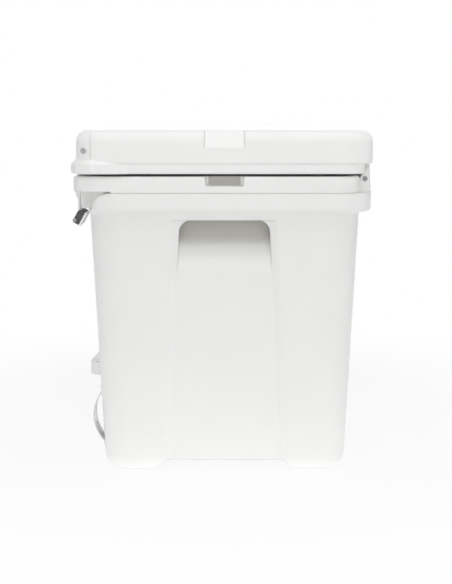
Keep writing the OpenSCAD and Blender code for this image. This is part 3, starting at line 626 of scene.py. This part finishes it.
class COOLER_OT_hinge(Operator):
    """Drawn steel rod through the hinge"""

    bl_idname = "cooler.hinge"
    bl_label = "Hinge rod"

    def execute(self, context):
        s = context.scene.cooler_metal
        rod = metal(
            "Drawn rod",
            written["steel_rod"],
            roughness=0.28,
            stretch=along("x", s.grain, 0.03),
            depth=s.grain_depth,
            sawn="X",
        )
        dress(["hinge_rod"], rod)
        return {"FINISHED"}


class COOLER_OT_latches(Operator):
    """Strap latches: flexible straps, black grips, steel plates and polished pins"""

    bl_idname = "cooler.latches"
    bl_label = "Latches"

    def execute(self, context):
        s = context.scene.cooler_metal
        strap = moulded(
            "Strap plastic",
            written["strap_plastic"],
            roughness=0.45,
            pebble=0.0005,
            pebble_depth=0.00002,
            mottle=0.97,
        )
        grip = moulded(
            "Grip black",
            written["grip_black"],
            roughness=0.55,
            pebble=0.0004,
            pebble_depth=0.00003,
            mottle=0.8,
            rub=2.2,
        )
        plate = metal(
            "Latch plate",
            written["latch_steel"],
            roughness=0.3,
            stretch=along("x", s.grain, 0.02),
            depth=s.grain_depth,
        )
        pin = metal(
            "Polished pin",
            s.chrome,
            roughness=0.12,
            stretch=along("x", s.grain, 0.01),
            depth=s.grain_depth * 0.4,
            sawn="X",
        )
        dress(pair("latch_strap"), strap)
        dress(pair("latch_grip"), grip)
        dress(pair("latch_plate"), plate)
        dress(pair("latch_pin") + pair("grip_pin"), pin)
        return {"FINISHED"}


class COOLER_OT_drain(Operator):
    """Hooded drain spout with its nut, cap and seals"""

    bl_idname = "cooler.drain"
    bl_label = "Drain"

    def execute(self, context):
        plastic = moulded(
            "Drain plastic",
            written["drain_plastic"],
            roughness=0.38,
            pebble=0.0007,
            pebble_depth=0.00002,
            mottle=0.97,
        )
        rubber = moulded(
            "Seal rubber",
            written["seal_rubber"],
            roughness=0.8,
            pebble=0.0005,
            pebble_depth=0.00002,
            mottle=0.8,
        )
        dress(["drain_elbow", "drain_nut", "drain_cap"], plastic)
        dress(["drain_washer", "cap_seal"], rubber)
        return {"FINISHED"}


class COOLER_OT_opener(Operator):
    """Brushed steel bottle opener and its screws"""

    bl_idname = "cooler.opener"
    bl_label = "Bottle opener"

    def execute(self, context):
        s = context.scene.cooler_metal
        sheet = metal(
            "Opener steel",
            s.steel,
            roughness=0.26,
            stretch=along("z", s.grain, 0.03),
            depth=s.grain_depth,
        )
        head = metal(
            "Screw steel",
            s.steel,
            roughness=0.2,
            stretch=along("y", s.grain, 0.002),
            depth=s.grain_depth,
        )
        dress(["opener_plate", "opener_bow"], sheet)
        dress(["opener_screws"], head)
        return {"FINISHED"}


class COOLER_OT_wheels(Operator):
    """Two wheels with rubber tyres on a turned axle"""

    bl_idname = "cooler.wheels"
    bl_label = "Wheels"

    def execute(self, context):
        s = context.scene.cooler_wheels
        tyre = moulded(
            "Tyre rubber",
            s.tyre,
            roughness=0.72,
            pebble=0.0008,
            pebble_depth=0.00004,
            mottle=0.75,
            rub=1.6,
        )
        dust = tyre.w.group(settled_dust, Coordinates=tyre.place, Patch_Size=0.02, Amount=s.dust)
        tyre.over(dust.outputs["Dust"], s.dust_tone)
        hub = moulded(
            "Hub plastic",
            s.hub,
            roughness=0.42,
            pebble=0.0009,
            pebble_depth=0.00003,
            mottle=0.97,
        )
        bush = moulded(
            "Bush plastic",
            written["bush_plastic"],
            roughness=0.5,
            pebble=0.0005,
            pebble_depth=0.00002,
        )
        m = context.scene.cooler_metal
        cap = metal(
            "Cap steel",
            written["axle_steel"],
            roughness=0.22,
            stretch=along("y", m.grain, 0.002),
            depth=m.grain_depth,
        )
        turned = metal(
            "Turned steel",
            written["axle_steel"],
            roughness=0.32,
            stretch=along("y", 0.004, m.grain),
            depth=m.grain_depth,
        )
        ends = ("front", "rear")
        dress(pair("tyre", ends), tyre)
        dress(pair("wheel", ends), hub)
        dress(pair("wheel_bush", ends), bush)
        dress(pair("axle_cap", ends), cap)
        dress(["axle", "axle_washers"], turned)
        return {"FINISHED"}


class COOLER_OT_handle(Operator):
    """Telescopic tow handle: brackets, tubes, collars, soft grip, release button and its spring"""

    bl_idname = "cooler.handle"
    bl_label = "Tow handle"

    def execute(self, context):
        s = context.scene.cooler_handle
        bracket = moulded(
            "Bracket plastic",
            written["bracket_plastic"],
            roughness=0.55,
            pebble=0.0006,
            pebble_depth=0.00004,
            mottle=0.85,
            rub=1.8,
        )
        coat = moulded(
            "Powder coat",
            written["tube_black"],
            roughness=0.45,
            pebble=0.0004,
            pebble_depth=0.00001,
            mottle=0.9,
            rub=1.6,
            wave=0.002,
            wave_depth=0.00002,
        )
        grip = moulded(
            "Soft grip",
            s.grip,
            roughness=0.7,
            pebble=0.0009,
            pebble_depth=0.00006,
            mottle=0.85,
            rub=1.5,
        )
        button = moulded(
            "Button plastic",
            s.button,
            roughness=0.4,
            pebble=0.0005,
            pebble_depth=0.00002,
            mottle=0.9,
        )
        m = context.scene.cooler_metal
        screw = metal(
            "Bracket screws",
            written["steel_rod"],
            roughness=0.22,
            stretch=along("x", m.grain, 0.002),
            depth=m.grain_depth,
        )
        tube = metal(
            "Satin tube",
            s.tube,
            roughness=0.34,
            stretch=along("z", m.grain, 0.05),
            depth=m.grain_depth * 0.6,
        )
        dress(["handle_bracket_top", "handle_bracket_foot"], bracket)
        dress(["handle_collars", "middle_collars"], bracket)
        dress(["bracket_screws"], screw)
        dress(["handle_tubes_fixed"], coat)
        dress(["handle_tubes_middle", "handle_tubes_inner"], tube)
        dress(["handle_grip"], grip)
        dress(["release_button"], button)
        self.spring(s)
        return {"FINISHED"}

    def spring(self, s):
        """Helix: x and y turn on a circle as z rises evenly between two closed end turns."""
        low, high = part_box("button_spring")
        middle = (low + high) / 2
        radius = (high.x - low.x) / 2 - s.wire / 2
        points_per_turn = 24
        closed = 0.12  # share of the wire that lies flat at each end
        t = np.linspace(0, 1, int(s.coils * points_per_turn) + 1)
        rise = np.clip((t - closed) / (1 - 2 * closed), 0, 1)
        z = low.z + s.wire / 2 + (high.z - low.z - s.wire) * rise
        turn = 2 * math.pi * s.coils * t
        x = middle.x + radius * np.cos(turn)
        y = middle.y + radius * np.sin(turn)
        points, faces = tube_along(np.stack([x, y, z], 1), s.wire / 2, sides=10)
        wire = metal(
            "Spring wire",
            written["steel_rod"],
            roughness=0.25,
            stretch=along("z", 0.0003, 0.002),
            depth=0.000003,
        )
        obj = piece("spring_coil", points, faces, wire, "handle_top")
        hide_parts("button_spring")
        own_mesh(obj)


# Colour of the floor's and the room's own light.
WHITE = (1.0, 1.0, 1.0, 1.0)


class COOLER_OT_stage(Operator):
    """Pale floor, soft studio light and the camera"""

    bl_idname = "cooler.stage"
    bl_label = "Stage"

    def execute(self, context):
        s = context.scene.cooler_stage
        self.floor(s)
        self.room(context, s)
        low = (0.0, 0.0, 0.15)
        self.lamp("Overhead", s.key, 2.0, (0.9, 0.1, 2.4), (0.0, 0.0, 0.25))
        self.lamp("Behind the camera", s.fill, 2.0, (2.9, 0.1, 1.0), low)
        self.lamp("Behind the cooler", s.fill * 0.7, 2.0, (-2.9, 0.1, 1.0), low)
        for side in (-1, 1):
            self.lamp("Beside the cooler", s.side, 1.4, (0.7, 2.2 * side, 0.7), (0.1, 0.0, 0.15))
        self.camera(context, s)
        return {"FINISHED"}

    def bare(self, owner):
        """Wiring of a material or a world whose node tree is emptied first."""
        owner.use_nodes = True
        owner.node_tree.nodes.clear()
        return Wiring(owner.node_tree)

    def floor(self, s):
        """Round floor: rings of points whose radii grow as a square, in the plane Z = 0. It looks
        all but white, and throws back more light close to the cooler than its paint would."""
        rings, spokes, reach = 23, 64, 14.0
        radii = (np.linspace(0, 1, rings + 1)[1:] ** 2 * reach)[:, None]
        turn = np.linspace(0, 2 * math.pi, spokes, endpoint=False)
        flat = np.zeros((rings, spokes))
        points = np.stack([radii * np.cos(turn), radii * np.sin(turn), flat], -1).reshape(-1, 3)
        points = np.vstack([points, [[0, 0, 0]]])
        faces = [f[::-1] for f in grid_faces(rings, spokes)]
        faces += [(rings * spokes, i, (i + 1) % spokes) for i in range(spokes)]
        material = bpy.data.materials.new("Studio floor")
        w = self.bare(material)
        away = w.vector("LENGTH", w.add("TexCoord").outputs["Object"])
        near = w.step(away, 0.35, 0.8, 1.0, 0.0)
        faded = w.step(away, 0.3, 0.9, 0.86, 1.0)
        paper = w.add("BsdfDiffuse", None, Color=(0.94, 0.94, 0.94, 1.0)).outputs[0]
        white = w.add("Emission", None, Color=WHITE, Strength=1.0).outputs[0]
        strength = w.math("MULTIPLY", near, s.glow)
        glow = w.add("Emission", None, Color=WHITE, Strength=strength).outputs[0]
        lit = w.add("AddShader", None, i0=paper, i1=glow).outputs[0]
        look = w.add("MixShader", None, Fac=faded, i1=paper, i2=white).outputs[0]
        mix = w.add("MixShader", None, Fac=w.shown(), i1=lit, i2=look).outputs[0]
        w.add("OutputMaterial", None, Surface=mix)
        mesh_object("floor", points, faces, material)

    def room(self, context, s):
        """White room: full white to the camera and in reflections, dimmer as a light."""
        context.scene.world = bpy.data.worlds.new("White room")
        w = self.bare(context.scene.world)
        light = w.add("Background", None, Color=WHITE, Strength=s.sky).outputs[0]
        white = w.add("Background", None, Color=WHITE, Strength=1.0).outputs[0]
        mix = w.add("MixShader", None, Fac=w.shown(), i1=light, i2=white).outputs[0]
        w.add("OutputWorld", None, Surface=mix)

    def lamp(self, name, watts, size, place, target):
        """Square soft light that faces a target point."""
        data = bpy.data.lights.new(name, "AREA")
        data.shape = "SQUARE"
        data.size = size
        data.energy = watts
        obj = bpy.data.objects.new(name, data)
        obj.location = place
        beam = Vector(target) - Vector(place)
        obj.rotation_euler = beam.to_track_quat("-Z", "Y").to_euler()
        bpy.context.scene.collection.objects.link(obj)

    def camera(self, context, s):
        """Camera off the plain end, which looks back along X and a little down."""
        data = bpy.data.cameras.new("Camera")
        data.sensor_fit = "AUTO"
        data.sensor_width = 36
        data.lens = s.lens
        data.clip_start, data.clip_end = 0.01, 100
        obj = bpy.data.objects.new("Camera", data)
        obj.location = (cad_box[1].x + s.distance, s.aside, s.height)
        obj.rotation_euler = Euler((math.pi / 2 - s.pitch, 0, math.pi / 2))
        context.scene.collection.objects.link(obj)
        context.scene.camera = obj
        context.scene.view_settings.view_transform = "Standard"


PIECES = (
    COOLER_OT_shell,
    COOLER_OT_hinge,
    COOLER_OT_latches,
    COOLER_OT_drain,
    COOLER_OT_opener,
    COOLER_OT_wheels,
    COOLER_OT_handle,
    COOLER_OT_stage,
)


class COOLER_PT_panel(Panel):
    """Lists the settings and the operators"""

    bl_label = "Cooler"
    bl_idname = "COOLER_PT_panel"
    bl_space_type = "VIEW_3D"
    bl_region_type = "UI"
    bl_category = "Cooler"

    def draw(self, context):
        for group in SETTINGS:
            settings = getattr(context.scene, group)
            box = self.layout.box()
            box.label(text=type(settings).__name__.replace("Settings", ""))
            for name in type(settings).__annotations__:
                box.prop(settings, name)
        for made in PIECES:
            self.layout.operator(made.bl_idname)


CLASSES = (*SETTINGS.values(), *PIECES, COOLER_PT_panel)


def register():
    """Makes the settings, operators and panel known, and hangs the settings on the scene."""
    for made in CLASSES:
        bpy.utils.register_class(made)
    for name, group in SETTINGS.items():
        setattr(bpy.types.Scene, name, PointerProperty(type=group))


def unregister():
    """Takes back what register did, the last first."""
    for name in SETTINGS:
        delattr(bpy.types.Scene, name)
    for made in reversed(CLASSES):
        bpy.utils.unregister_class(made)


def main():
    """Makes every piece and the stage."""
    register()
    for made in PIECES:
        group, call = made.bl_idname.split(".")
        getattr(getattr(bpy.ops, group), call)()


if __name__ == "__main__":
    main()
